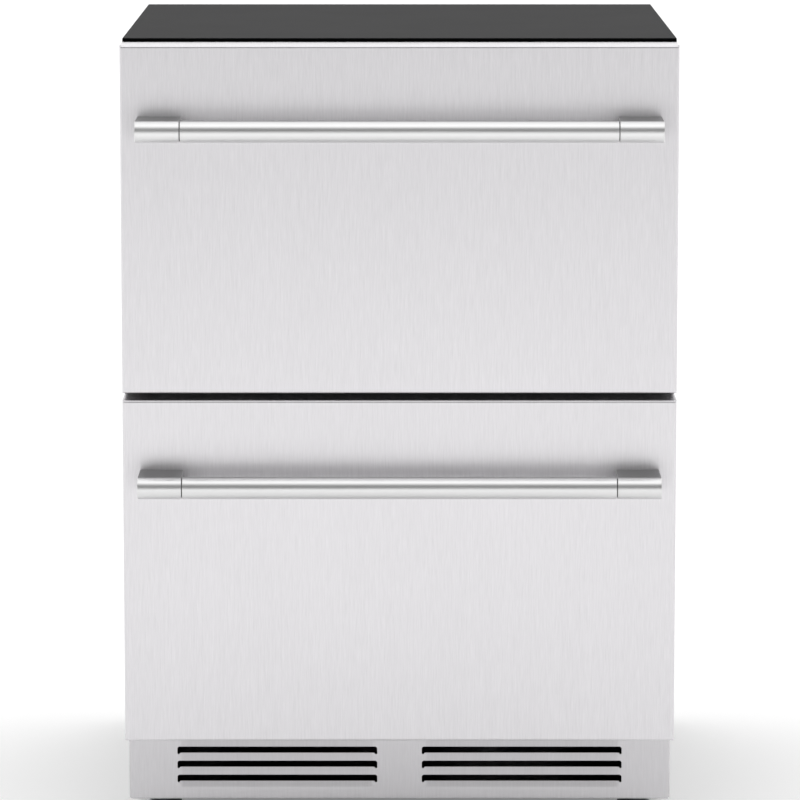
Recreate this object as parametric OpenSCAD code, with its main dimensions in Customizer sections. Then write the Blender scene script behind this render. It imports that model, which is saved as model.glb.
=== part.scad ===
// Undercounter drawer refrigerator, built as an assembly of separate pieces.
// Millimetres. +X is to the right seen from the front, +Y runs to the back, +Z is up.
// The origin is on the floor, under the middle of the bounding box.

/* [Cabinet] */
// Overall width of the cabinet
cab_w = 595; // [580:1:610]
// Height of the cabinet top above the floor, legs screwed in
cab_h = 864; // [850:1:880]
// Depth of the cabinet without its drawer fronts
cab_d = 531; // [520:1:545]
// Thickness of the outer sheet steel
sheet_t = 1.2; // [1:0.1:1.5]
// Wall thickness of the inner liner
liner_t = 2; // [1.5:0.1:2.5]
// Insulation between the side sheet and the liner
side_foam = 32.3; // [30:0.1:34]

/* [Drawer fronts] */
// Width of a drawer front
front_w = 594.5; // [578:0.5:594.5]
// Height of a drawer front
front_h = 373.3; // [368:0.1:374]
// Gap between the two drawer fronts
front_gap = 7.3; // [6:0.1:10]
// Thickness of a drawer front without its gasket
front_t = 53.5; // [50:0.5:56]
// Drop of the upper front's top edge below the cabinet top
front_drop = 3.6; // [3:0.1:6]
// Thickness of the stainless skin
skin_t = 1; // [0.8:0.1:1.2]
// Rounding of the front edges
edge_r = 2.8; // [2:0.1:4]

/* [Handles] */
// Overall length of a handle
handle_l = 557.7; // [500:0.1:560]
// Diameter of the handle bar
handle_d = 23.6; // [20:0.1:26]
// Distance from the front's face to the middle of the bar
handle_off = 47; // [44:0.5:52]
// Length of each end post along the bar
post_l = 47; // [40:0.5:52]
// Drop of the bar's middle below the front's top edge
handle_drop = 87.3; // [70:0.1:110]

/* [Toe grille] */
// Height of the grille's lower edge above the floor
kick_z = 23.4; // [22:0.1:26]
// Set-back of the grille behind the cabinet's front plane
kick_back = 19; // [16:0.5:24]
// Length of each louvre slot
slot_l = 220; // [200:1:230]
// Distance of the slots from the middle of the grille
slot_x = 24.5; // [20:0.5:30]
// Vertical pitch of the louvres
slot_pitch = 15.8; // [15:0.1:16]
// Open height of each slot
slot_h = 8.1; // [6:0.1:8.5]
// How far the upper edge of each louvre blade is pressed inward
louvre_in = 4.5; // [3:0.1:5]

/* [Drawers] */
// Travel of each drawer on its runners
travel = 400; // [360:5:400]
// Depth of the upper bin
upper_bin_d = 380; // [340:5:382]
// Depth of the lower bin, which stops in front of the compressor step
lower_bin_d = 272; // [240:2:274]
// Wall thickness of the bins
bin_t = 1.2; // [1:0.1:2]

/* [Legs] */
// Radius of a leg's threaded stem
leg_r = 6; // [5:0.5:6]
// Radius of a leg's foot
foot_r = 19; // [16:0.5:22]

/* [Hidden] */
$fn = 64;

e = 0.01;
weld = 0.05;                           // hairline between welded panels
half = cab_w / 2;
in_x = half - sheet_t;                 // inside of the side sheets
open_x = in_x - side_foam - liner_t;   // half width of the cavity
// depth stations
total_d = handle_off + handle_d / 2 + front_t + 4.5 + cab_d + 3;
y_face = -total_d / 2 + handle_off + handle_d / 2; // front face of the drawer fronts
y_fback = y_face + front_t;            // back plane of the drawer fronts
y_cab = y_fback + 4.5;                 // front plane of the cabinet
y_frame = y_cab + 13;                  // back of the front frame, start of the liner
y_back = y_cab + cab_d;                // outer face of the rear panels
y_liner = y_back - 55;                 // rear wall of the cavity
y_step = y_frame + 288;                // front of the step over the machine compartment
y_bulk = y_step + 32;                  // front wall of the machine compartment
// height stations
z_low = 27;                            // underside of the base pan
z_kick_top = 103.5;
z_bot = 128;                           // cavity floor
z_step = 260;                          // top of the step
z_mach = z_step - 32;                  // ceiling of the machine compartment
z_top = cab_h - 32;                    // cavity ceiling
z_foam0 = 106;                         // underside of the foam
frame_t = 1.5;                         // sheet of the front frame
y_foam = y_back - 2 * sheet_t - 0.1;   // rear face of the foam
chase = [215, y_back - 33];            // refrigerant line chase: x, y
chase_r = 9;
up_z1 = cab_h - front_drop;            // top of the upper front
up_z0 = up_z1 - front_h;
lo_z1 = up_z0 - front_gap;
lo_z0 = lo_z1 - front_h;
rail_mid = (up_z0 + lo_z1) / 2;
rail_z0 = rail_mid - 24.5;
rail_z1 = rail_mid + 24.5;
// drawer stations, [lower, upper]
up_open = [rail_z1, z_top];
lo_open = [z_bot, rail_z0];
up_slide_z = z_top - 132;
lo_slide_z = z_step + 70;
slide_l = 400;
y_slide = y_frame + 2;                 // front end of the runners
bin_y = y_frame + 5;                   // front wall of the bins
bin_x = open_x - 16;
up_bin_z = [rail_z1 + 14, up_slide_z + 52];
lo_bin_z = [z_bot + 14, lo_slide_z + 52];
leg_x = half - 35.5;
leg_y = [y_cab + 88, y_back - 38];
comp = [-150, y_bulk + 100];           // compressor axis
fan_x = 125;                           // condenser fan axis
fan_z = 120;
cond_y = y_bulk + 32;                  // middle of the condenser
evap_z = z_top - 132;                  // evaporator fan axis
evap_y = y_liner - 23;                 // evaporator tube plane
evap_z0 = z_step + 78;                 // bottom of the evaporator fins

// colours
black = [0.06, 0.06, 0.065];
steel = [0.78, 0.78, 0.79];
white = [0.90, 0.91, 0.92];

// ---------- helpers ----------
module box(x0, x1, y0, y1, z0, z1) {
  translate([x0, y0, z0]) cube([x1 - x0, y1 - y0, z1 - z0]);
}
module both() { children(); mirror([1, 0, 0]) children(); }
// a profile drawn in Y-Z, extruded along X from x0 to x1
module yz(x0, x1) {
  translate([x0, 0, 0]) rotate([90, 0, 90]) linear_extrude(height = x1 - x0) children();
}
module ycyl(x, z, y0, y1, r) {
  translate([x, y1, z]) rotate([90, 0, 0]) cylinder(r = r, h = y1 - y0);
}
module xcyl(y, z, x0, x1, r) {
  translate([x0, y, z]) rotate([0, 90, 0]) cylinder(r = r, h = x1 - x0);
}
module zcyl(x, y, z0, z1, r) { translate([x, y, z0]) cylinder(r = r, h = z1 - z0); }
// a box whose four edges round its front face are rounded
module front_box(x0, x1, y0, y1, z0, z1, r) {
  box(x0, x1, y0 + r, y1, z0, z1);
  box(x0 + r, x1 - r, y0, y0 + r + e, z0 + r, z1 - r);
  for (z = [z0 + r, z1 - r]) xcyl(y0 + r, z, x0 + r, x1 - r, r);
  for (x = [x0 + r, x1 - r]) {
    zcyl(x, y0 + r, z0 + r, z1 - r, r);
    for (z = [z0 + r, z1 - r]) translate([x, y0 + r, z]) sphere(r = r);
  }
}

// ---------- cabinet ----------
// screw positions on the rear: x, z
grille_screws = [-230, 0, 230];
rear_screws = [for (s = [-1, 1], z = [70, 200, 262, 440, 640, 830]) [s * (in_x - 7), z]];

module cabinet_shell() color(black) difference() {
  union() {
    both() yz(in_x, half) polygon([
      [y_cab, cab_h], [y_cab, z_kick_top + 0.5], [y_cab + kick_back + 20, z_kick_top + 0.5],
      [y_cab + kick_back + 20, z_low], [y_back - sheet_t, z_low], [y_back - sheet_t, cab_h]]);
    box(-half, half, y_cab, y_back - sheet_t, cab_h - sheet_t, cab_h);
    both() box(in_x - 13, in_x + e, y_back - 2 * sheet_t, y_back - sheet_t, 51, cab_h - sheet_t + e);
    box(-in_x, in_x, y_back - 2 * sheet_t, y_back - sheet_t, cab_h - 14, cab_h - sheet_t + e);
  }
  for (p = rear_screws) ycyl(p[0], p[1], y_back - 5, y_back, 2);
}

module back_panel() color(black) difference() {
  union() {
    box(-in_x + 0.3, in_x - 0.3, y_back - sheet_t, y_back, z_mach + 4, cab_h - sheet_t - 0.3);
    // pressed stiffening recesses
    for (x = [-185, 15]) box(x, x + 170, y_back - 0.8 - sheet_t, y_back - sheet_t + e, 330, 780);
  }
  for (p = rear_screws) ycyl(p[0], p[1], y_back - 5, y_back + 1, 2);
  for (x = [-185, 15]) box(x + sheet_t, x + 170 - sheet_t, y_back - 0.8, y_back + 1, 330 + sheet_t, 780 - sheet_t);
}

module rear_cover() color(black) difference() {
  box(-in_x + 0.3, in_x - 0.3, y_back - sheet_t, y_back, 51, z_mach + 3.5);
  for (p = rear_screws) ycyl(p[0], p[1], y_back - 5, y_back + 1, 2);
  // warm air outlet behind the condenser fan
  for (i = [0:11]) box(fan_x - 70, fan_x + 70, y_back - 5, y_back + 1, 60 + i * 12, 65 + i * 12);
  for (i = [0:5]) box(-215, -100, y_back - 5, y_back + 1, 130 + i * 12, 135 + i * 12);
  ycyl(-235, 80, y_back - 5, y_back + 1, 9);
}

// cross-head pan screw along +Z, its head's underside at z = 0
module pan_screw(l) {
  translate([0, 0, -l]) cylinder(r = 1.9, h = l + e);
  difference() {
    cylinder(r = 4.4, h = 3);
    for (a = [0, 90]) translate([0, 0, 3]) rotate([0, 0, a]) cube([5, 1, 2.4], center = true);
  }
}

module case_screws() color(steel) {
  for (p = rear_screws) translate([p[0], y_back, p[1]]) rotate([-90, 0, 0]) pan_screw(2.4);
  // the grille's upper fold is screwed up into the bulkhead
  for (x = grille_screws) translate([x, y_cab + 26, z_kick_top - sheet_t]) rotate([180, 0, 0]) pan_screw(3.6);
}

module base_pan() color([0.62, 0.63, 0.64]) difference() {
  union() {
    box(-in_x + 0.1, in_x - 0.1, y_cab + kick_back + 21, y_back, z_low, z_low + 1.5);
    both() box(in_x - 1.3, in_x - 0.1, y_cab + kick_back + 21, y_back - 2 * sheet_t - 0.1, z_low, 50);
    box(-in_x + 0.1, in_x - 0.1, y_cab + kick_back + 21, y_cab + kick_back + 22.2, z_low, 34);
    // rear flange that takes an anti-tip bracket
    box(-in_x + 0.1, in_x - 0.1, y_back - sheet_t, y_back, z_low, 50);
    both() for (y = leg_y) zcyl(leg_x, y, z_low, 44, 11);
  }
  both() for (y = leg_y) zcyl(leg_x, y, z_low - 1, 45, leg_r + 0.1);
  both() ycyl(180, 38.5, y_back - 5, y_back + 1, 2.75);
}

// galvanised sheet under the foam and round the machine compartment
module bulkhead() color([0.62, 0.63, 0.64]) difference() {
  yz(-in_x + 0.2, in_x - 0.2) polygon([
    [y_frame, z_foam0], [y_bulk, z_foam0], [y_bulk, z_mach], [y_foam, z_mach],
    [y_foam, z_mach - 1.2], [y_bulk + 1.2, z_mach - 1.2], [y_bulk + 1.2, z_foam0 - 1.2],
    [y_frame, z_foam0 - 1.2]]);
  zcyl(chase[0], chase[1], z_mach - 5, z_mach + 5, chase_r);
  for (x = grille_screws) zcyl(x, y_cab + 26, z_foam0 - 3, z_foam0 + 1, 2);
}

module foam_body() color([0.93, 0.87, 0.62]) difference() {
  union() {
    yz(-in_x, in_x) polygon([
      [y_frame, z_foam0], [y_bulk, z_foam0], [y_bulk, z_mach], [y_foam, z_mach],
      [y_foam, cab_h - sheet_t], [y_frame, cab_h - sheet_t]]);
    // fills the folded front frame
    difference() {
      box(-in_x + frame_t, in_x - frame_t, y_cab + frame_t, y_frame, z_kick_top + 0.5 + frame_t, cab_h - sheet_t - frame_t);
      box(-open_x - frame_t, open_x + frame_t, y_cab, y_frame + 1, z_bot - frame_t, z_top + frame_t);
    }
  }
  yz(-open_x - liner_t, open_x + liner_t) polygon([
    [y_frame - 1, z_bot - liner_t], [y_step + liner_t, z_bot - liner_t],
    [y_step + liner_t, z_step - liner_t], [y_liner + liner_t, z_step - liner_t],
    [y_liner + liner_t, z_top + liner_t], [y_frame - 1, z_top + liner_t]]);
  // chase for the refrigerant lines
  zcyl(chase[0], chase[1], z_mach - 1, 400, chase_r);
  ycyl(chase[0], 400, y_liner, chase[1], chase_r);
  translate([chase[0], chase[1], 400]) sphere(r = chase_r);
}

module liner() color(white) difference() {
  yz(-open_x - liner_t, open_x + liner_t) polygon([
    [y_frame, z_bot - liner_t], [y_step + liner_t, z_bot - liner_t],
    [y_step + liner_t, z_step - liner_t], [y_liner + liner_t, z_step - liner_t],
    [y_liner + liner_t, z_top + liner_t], [y_frame, z_top + liner_t]]);
  yz(-open_x, open_x) polygon([
    [y_frame - 1, z_bot], [y_step, z_bot], [y_step, z_step], [y_liner, z_step],
    [y_liner, z_top], [y_frame - 1, z_top]]);
  ycyl(chase[0], 400, y_liner - 2, y_liner + 5, chase_r);
}

// folded frame: front face, outer flange and inner flange round the opening
module front_frame() color(black) difference() {
  box(-in_x, in_x, y_cab, y_frame, z_kick_top + 0.5, cab_h - sheet_t);
  box(-open_x, open_x, y_cab - 1, y_frame + 1, z_bot, z_top);
  difference() {
    box(-in_x + frame_t, in_x - frame_t, y_cab + frame_t, y_frame + 1, z_kick_top + 0.5 + frame_t, cab_h - sheet_t - frame_t);
    box(-open_x - frame_t, open_x + frame_t, y_cab, y_frame + 2, z_bot - frame_t, z_top + frame_t);
  }
}

module center_rail() color(black) difference() {
  box(-open_x, open_x, y_cab, y_cab + 48, rail_z0, rail_z1);
  box(-open_x - 1, open_x + 1, y_cab + 2, y_cab + 49, rail_z0 + 2, rail_z1 - 2);
}

// ---------- toe grille ----------
kick_y = y_cab + kick_back;
function slot_z(k) = 90 - slot_pitch * k;   // lower edge of slot k

module louvre_strip(z1, h) {
  // blade pressed inward at its upper edge, flush along its lower edge and at both ends
  yz(slot_x + 4, slot_x + slot_l - 4) polygon([
    [kick_y, z1 - h - 0.2], [kick_y + sheet_t, z1 - h - 0.2],
    [kick_y + louvre_in + sheet_t, z1], [kick_y + louvre_in, z1]]);
  box(slot_x - 0.1, slot_x + 4.01, kick_y, kick_y + sheet_t, z1 - h - 0.2, z1);
  box(slot_x + slot_l - 4.01, slot_x + slot_l + 0.1, kick_y, kick_y + sheet_t, z1 - h - 0.2, z1);
  // closed ends of the pressed blade
  for (x = [slot_x + 4, slot_x + slot_l - 5]) yz(x, x + 1) polygon([
    [kick_y + sheet_t - 0.3, z1 - h], [kick_y + louvre_in + sheet_t, z1], [kick_y + 0.4, z1]]);
}

module toe_grille() color(steel) union() {
  difference() {
    union() {
      box(-half, half, kick_y, kick_y + sheet_t, kick_z, z_kick_top);
      both() box(half - sheet_t, half, kick_y, kick_y + 19.5, kick_z, z_kick_top);
      box(-half, half, kick_y, kick_y + 10, kick_z, kick_z + sheet_t);
      box(-half, half, kick_y, kick_y + 12, z_kick_top - sheet_t, z_kick_top);
    }
    both() box(slot_x, slot_x + slot_l, kick_y - 1, kick_y + 3, slot_z(3) - 5.6, slot_z(0) + slot_h);
    for (x = grille_screws) zcyl(x, y_cab + 26, z_kick_top - 3, z_kick_top + 1, 2);
  }
  both() {
    for (k = [0:2]) louvre_strip(slot_z(k), slot_pitch - slot_h);
    louvre_strip(slot_z(3), 5.6);
  }
}

// ---------- controls and lights ----------
module control_housing() color([0.16, 0.16, 0.17]) difference() {
  yz(-110, 110) polygon([[y_frame + 2, z_top], [y_frame + 2, z_top - 8], [y_frame + 20, z_top - 26],
    [y_frame + 66, z_top - 26], [y_frame + 66, z_top]]);
  yz(-107, 107) polygon([[y_frame + 6, z_top + 1], [y_frame + 6, z_top - 6], [y_frame + 23, z_top - 23],
    [y_frame + 63, z_top - 23], [y_frame + 63, z_top + 1]]);
  // seat for the glass in the sloping face
  translate([0, y_frame + 11, z_top - 17]) rotate([45, 0, 0]) cube([200.4, 21.4, 2.4], center = true);
}

module control_glass() color([0.02, 0.02, 0.025])
  translate([0, y_frame + 11, z_top - 17]) rotate([45, 0, 0]) translate([0, 0, 0.1]) cube([200, 21, 2], center = true);

module light_lenses() color([0.96, 0.97, 0.98]) {
  box(-150, 150, y_frame + 90, y_frame + 112, z_top - 4, z_top);
  box(-150, 150, y_cab + 14, y_cab + 32, rail_z0 - 4, rail_z0);
}

// ---------- cold air ----------
module duct_cover() color(white) union() {
    difference() {
      box(-240, 240, y_liner - 46, y_liner, z_step + 15, z_top - 6);
      box(-237.5, 237.5, y_liner - 43.5, y_liner + 1, z_step + 17.5, z_top - 8.5);
      ycyl(0, evap_z, y_liner - 50, y_liner - 40, 54);
      // return grille
      for (i = [0:22]) box(-180 + i * 16, -172 + i * 16, y_liner - 50, y_liner - 40, z_step + 30, z_step + 66);
      for (i = [0:10]) box(-180 + i * 34.4, -164 + i * 34.4, y_liner - 50, y_liner - 40, z_top - 30, z_top - 22);
    }
    // finger guard
    for (r = [14, 25, 36, 47]) difference() {
      ycyl(0, evap_z, y_liner - 46, y_liner - 44, r + 1);
      ycyl(0, evap_z, y_liner - 47, y_liner - 43, r - 1);
    }
    for (a = [0:60:179]) translate([0, y_liner - 45, evap_z]) rotate([0, a, 0]) cube([110, 2, 2.4], center = true);
}

module fan_rotor(x, z, y0, depth, hub, tip, bore, blades, pitch) difference() {
  union() {
    ycyl(x, z, y0, y0 + depth, hub);
    for (i = [0:blades - 1]) translate([x, y0 + depth / 2, z]) rotate([0, i * 360 / blades, 0])
      intersection() {
        translate([(hub + tip) / 2 - 1, 0, 0]) rotate([pitch, 0, 0]) cube([tip - hub + 2, 1.4, tip * 0.62], center = true);
        rotate([90, 0, 0]) cylinder(r = tip, h = depth - 1, center = true);
      }
  }
  ycyl(x, z, y0 + 6, y0 + depth + 1, bore);
}

module evaporator_fan() color([0.2, 0.2, 0.22])
  fan_rotor(0, evap_z, y_liner - 42, 16, 17, 48, 2.05, 7, 58);

module evaporator_fan_motor() color([0.3, 0.3, 0.32]) {
  ycyl(0, evap_z, y_liner - 23, y_liner - 2, 19);
  ycyl(0, evap_z, y_liner - 34, y_liner - 22.9, 2);
  for (a = [90, 210, 330]) translate([0, y_liner - 1.5, evap_z]) rotate([0, a, 0])
    translate([17, -1.5, -5]) cube([50, 3, 10]);
}

// finned coil; the free ends of the tube are on side s (-1 left, 1 right)
module coil(x0, x1, y0, y1, z0, z1, fins, rows, cols, r, s) {
  pf = (x1 - x0) / (fins - 1);
  cy = (y1 - y0) / cols;
  cz = (z1 - z0) / rows;
  for (i = [0:fins - 1]) box(x0 + i * pf - 0.4, x0 + i * pf + 0.4, y0, y1, z0, z1);
  for (j = [0:rows - 1], k = [0:cols - 1]) xcyl(y0 + (k + 0.5) * cy, z0 + (j + 0.5) * cz, x0 - 8, x1 + 8, r);
  // return bends join pairs of runs
  for (j = [0:rows - 2], k = [0:cols - 1]) {
    right = (j % 2 == 0) == (s < 0);
    translate([right ? x1 + 8 : x0 - 8, y0 + (k + 0.5) * cy, z0 + (j + 1) * cz])
      rotate([90, 0, 0]) rotate([0, 0, right ? -90 : 90]) rotate_extrude(angle = 180) translate([cz / 2, 0]) circle(r = r);
  }
  // crossover between the two columns at the bottom
  if (cols == 2) translate([s > 0 ? x1 + 8 : x0 - 8, (y0 + y1) / 2, z0 + cz / 2])
    rotate([0, 0, s > 0 ? -90 : 90]) rotate_extrude(angle = 180) translate([cy / 2, 0]) circle(r = r);
}

module evaporator_coil() color([0.8, 0.81, 0.82])
  coil(-165, 165, evap_y - 14, evap_y + 14, evap_z0, evap_z0 + 144, 23, 6, 1, 4, 1);

// ---------- machine compartment ----------
module compressor() color([0.05, 0.05, 0.055]) translate([comp[0], comp[1], 0]) {
  rotate_extrude() polygon(concat([[0, 48]],
    [for (a = [-90:10:0]) [32 + 26 * cos(a), 74 + 26 * sin(a)]],
    [[58, 104], [62, 104], [62, 110], [58, 110]],
    [for (a = [0:10:90]) [24 + 34 * cos(a), 134 + 30 * sin(a)]],
    [[0, 164]]));
  // welded foot plate, on the rubber grommets
  difference() {
    translate([-84, -56, 44]) cube([168, 112, 5]);
    for (sx = [-1, 1], sy = [-1, 1]) zcyl(sx * 70, sy * 44, 43, 50, 7.2);
  }
  // start relay cover
  translate([52, -22, 84]) cube([20, 44, 42]);
}

module compressor_grommets() color([0.09, 0.09, 0.09])
  for (sx = [-1, 1], sy = [-1, 1]) translate([comp[0] + sx * 70, comp[1] + sy * 44, 0]) difference() {
    union() {
      zcyl(0, 0, z_low + 1.5, 44, 11);
      zcyl(0, 0, 43.9, 49.1, 7);
      zcyl(0, 0, 49.1, 53, 11);
    }
    zcyl(0, 0, z_low, 54, 3.2);
  }

module condenser_coil() color([0.10, 0.10, 0.105])
  coil(fan_x - 72, fan_x + 72, cond_y - 18, cond_y + 18, 42, 198, 19, 6, 2, 3.5, -1);

module fan_shroud() color([0.13, 0.13, 0.135]) difference() {
  union() {
    box(fan_x - 107, fan_x + 107, y_bulk + 62, y_bulk + 64, 40, 202);
    // cheeks stand on the base pan outside the drain pan
    for (s = [-1, 1]) translate([fan_x + s * 106 - 1, y_bulk + 10, z_low + 1.5]) cube([2, 54, 170 - z_low]);
    ycyl(fan_x, fan_z, y_bulk + 64, y_bulk + 74, 75);
  }
  ycyl(fan_x, fan_z, y_bulk + 60, y_bulk + 80, 72);
}
module condenser_fan() color([0.2, 0.2, 0.22])
  fan_rotor(fan_x, fan_z, y_bulk + 68, 20, 22, 68, 2.55, 5, 60);

module condenser_fan_motor() color([0.3, 0.3, 0.32]) {
  ycyl(fan_x, fan_z, y_bulk + 91, y_bulk + 122, 26);
  ycyl(fan_x, fan_z, y_bulk + 76, y_bulk + 91.1, 2.5);
  for (a = [45:90:359]) translate([fan_x, 0, fan_z]) rotate([0, a, 0]) {
    translate([24, y_bulk + 98, -4]) cube([66, 3, 8]);
    translate([86, y_bulk + 64, -4]) cube([4, 37, 8]);
  }
}

module drain_pan() color([0.16, 0.16, 0.17]) difference() {
  box(fan_x - 102, fan_x + 102, y_bulk + 5, y_bulk + 130, z_low + 1.5, 39);
  box(fan_x - 100, fan_x + 100, y_bulk + 7, y_bulk + 128, z_low + 3.5, 40);
}

// tube through a list of points, with a ball at each bend
module tube(pts, r) {
  for (i = [0:len(pts) - 2]) {
    d = pts[i + 1] - pts[i];
    l = norm(d);
    translate(pts[i]) rotate([0, acos(d[2] / l), atan2(d[1], d[0])]) cylinder(r = r, h = l);
  }
  for (i = [1:1:len(pts) - 2]) translate(pts[i]) sphere(r = r);
}

module refrigerant_lines() color([0.72, 0.45, 0.28]) {
  dx = -30;                            // filter drier axis
  dy = cond_y + 9;
  cx = fan_x - 80;                     // condenser tube ends
  ex = 173;                            // evaporator tube ends
  // filter drier
  translate([dx, dy, 0]) {
    translate([0, 0, 70]) cylinder(r = 10, h = 70);
    translate([0, 0, 60]) cylinder(r1 = 3.5, r2 = 10, h = 10);
    translate([0, 0, 140]) cylinder(r1 = 10, r2 = 3.5, h = 10);
  }
  // discharge: compressor to condenser inlet
  tube([[comp[0], comp[1] + 10, 164], [comp[0], comp[1] + 10, 204], [-10, comp[1] + 10, 204],
        [-10, cond_y - 9, 204], [-10, cond_y - 9, 185], [cx, cond_y - 9, 185]], 3);
  // liquid: condenser outlet to drier
  tube([[cx, dy, 185], [4, dy, 185], [4, dy, 50], [dx, dy, 50], [dx, dy, 61]], 3);
  // capillary: drier up the chase to the evaporator
  tube([[dx, dy, 149], [dx, dy, 216], [chase[0] - 3, dy, 216], [chase[0] - 3, chase[1] - 1, 216],
        [chase[0] - 3, chase[1] - 1, 403], [chase[0] - 3, evap_y, 403], [chase[0] - 3, evap_y, evap_z0 + 132],
        [ex, evap_y, evap_z0 + 132]], 1.4);
  // suction: evaporator down the chase to the compressor
  tube([[ex, evap_y, evap_z0 + 12], [chase[0] + 3, evap_y, evap_z0 + 12], [chase[0] + 3, evap_y, 397],
        [chase[0] + 3, chase[1] + 1, 397], [chase[0] + 3, chase[1] + 1, 212],
        [comp[0] - 30, chase[1] + 1, 212], [comp[0] - 30, comp[1] + 10, 212], [comp[0] - 30, comp[1] + 10, 163.9]], 4);
}

module cord_gland() color([0.09, 0.09, 0.09]) difference() {
  union() {
    ycyl(-235, 80, y_back, y_back + 3, 12);
    ycyl(-235, 80, y_back - 12, y_back + e, 8.9);
  }
  ycyl(-235, 80, y_back - 13, y_back + 4, 4.25);
}

// ---------- legs ----------
module leg(x, y) color(steel) translate([x, y, 0]) union() {
  difference() {
    union() {
      cylinder(r = foot_r, h = 6);
      translate([0, 0, 6]) cylinder(r1 = foot_r, r2 = 12, h = 3);
      translate([0, 0, 9]) cylinder(r = 11, h = 7, $fn = 6);
    }
    translate([0, 0, -1]) difference() { cylinder(r = foot_r - 3, h = 1.6); cylinder(r = foot_r - 6, h = 1.6); }
  }
  // threaded stem, drawn as rings at the thread's pitch
  translate([0, 0, 15.5]) rotate_extrude() polygon(concat([[0, 0]],
    [for (i = [0:25]) each [[leg_r - 0.9, i * 1.75], [leg_r, i * 1.75 + 0.875]]],
    [[leg_r - 0.9, 45.5], [0, 45.5]]));
}
module leg_front_left() leg(-leg_x, leg_y[0]);
module leg_front_right() leg(leg_x, leg_y[0]);
module leg_rear_left() leg(-leg_x, leg_y[1]);
module leg_rear_right() leg(leg_x, leg_y[1]);

// ---------- runners ----------
// u runs inward from the liner wall, v is the height about the runner's middle
module channel(zc, web0, web1, fl0, fl1, hv, t, y0, l) {
  box(open_x - web1, open_x - web0, y0, y0 + l, zc - hv, zc + hv);
  for (s = [-1, 1]) box(open_x - fl1, open_x - fl0, y0, y0 + l,
    min(zc + s * hv, zc + s * (hv - t)), max(zc + s * hv, zc + s * (hv - t)));
}
module slide_outer(zc) color(steel) both() difference() {
  channel(zc, 0, 1.2, 0, 9.5, 22.5, 1.2, y_slide, slide_l);
  for (y = [30, 200, 370]) xcyl(y_slide + y, zc, open_x - 3, open_x + 1, 2.3);
}
module slide_middle(zc) color(steel) both()
  channel(zc, 3.2, 4.4, 3.2, 11, 17.6, 1.2, y_slide, slide_l);
module slide_inner(zc) color(steel) both() difference() {
  channel(zc, 11.8, 13, 5.6, 13, 12.6, 1.2, y_slide, slide_l);
  for (y = [20, 120, 220, 320]) xcyl(y_slide + y, zc, open_x - 14, open_x - 10, 2.3);
}
module ball_cage(zc, web0, web1, fl1, hv, ub) color([0.72, 0.6, 0.36]) both() {
  y0 = y_slide + 110;
  box(open_x - web1, open_x - web0, y0, y0 + 180, zc - hv - 0.3, zc + hv + 0.3);
  for (s = [-1, 1]) {
    box(open_x - fl1, open_x - web0, y0, y0 + 180, zc + s * hv - 0.3, zc + s * hv + 0.3);
    for (i = [0:7]) translate([open_x - ub, y0 + 13 + i * 22, zc + s * hv]) sphere(r = 1.55);
  }
}
module outer_ball_cages(zc) ball_cage(zc, 1.9, 2.5, 9, 19.45, 6.5);
module inner_ball_cages(zc) ball_cage(zc, 4.7, 5.2, 10.5, 14.5, 8.3);

module upper_slide_outer() slide_outer(up_slide_z);
module upper_slide_middle() slide_middle(up_slide_z);
module upper_slide_inner() slide_inner(up_slide_z);
module upper_outer_ball_cages() outer_ball_cages(up_slide_z);
module upper_inner_ball_cages() inner_ball_cages(up_slide_z);
module lower_slide_outer() slide_outer(lo_slide_z);
module lower_slide_middle() slide_middle(lo_slide_z);
module lower_slide_inner() slide_inner(lo_slide_z);
module lower_outer_ball_cages() outer_ball_cages(lo_slide_z);
module lower_inner_ball_cages() inner_ball_cages(lo_slide_z);

// ---------- drawer fronts ----------
fx = front_w / 2;
hx = handle_l / 2;                      // end of the handle
screw_x = [hx - 13, hx - 35];           // handle screws, each side
y_pan = y_fback - 4;                    // back edge of the skin's returns
y_bar = y_face - handle_off;

module front_skin(z0) color(steel) difference() {
  front_box(-fx, fx, y_face, y_pan, z0, z0 + front_h, edge_r);
  front_box(-fx + skin_t, fx - skin_t, y_face + skin_t, y_pan + 1, z0 + skin_t, z0 + front_h - skin_t, edge_r - skin_t);
  both() for (x = screw_x) ycyl(x, z0 + front_h - handle_drop, y_face - 1, y_face + 2, 2.75);
}
module front_core(z0, op) color([0.93, 0.87, 0.62]) difference() {
  union() {
    front_box(-fx + skin_t, fx - skin_t, y_face + skin_t, y_pan, z0 + skin_t, z0 + front_h - skin_t, edge_r - skin_t);
    box(-open_x + 17, open_x - 17, y_pan - e, y_frame - 8, op[0] + 14, op[1] - 14);
  }
  both() for (x = screw_x) ycyl(x, z0 + front_h - handle_drop, y_face, y_pan + 1, 6.5);
}
module front_liner(z0, op) color(white) difference() {
  union() {
    box(-fx + 0.6, fx - 0.6, y_pan, y_fback, z0 + 0.6, z0 + front_h - 0.6);
    box(-open_x + 15, open_x - 15, y_fback - 0.5, y_frame - 2, op[0] + 12, op[1] - 12);
  }
  // recessed centre panel, and the room behind it for foam
  box(-open_x + 45, open_x - 45, y_frame - 6, y_frame, op[0] + 42, op[1] - 42);
  box(-open_x + 17, open_x - 17, y_pan - 1, y_frame - 8, op[0] + 14, op[1] - 14);
}
module ring(y0, y1, x1, x2, za, zb, w1, w2) difference() {
  box(-x2, x2, y0, y1, za - w2, zb + w2);
  box(-x1, x1, y0 - 1, y1 + 1, za - w1, zb + w1);
}
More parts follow.
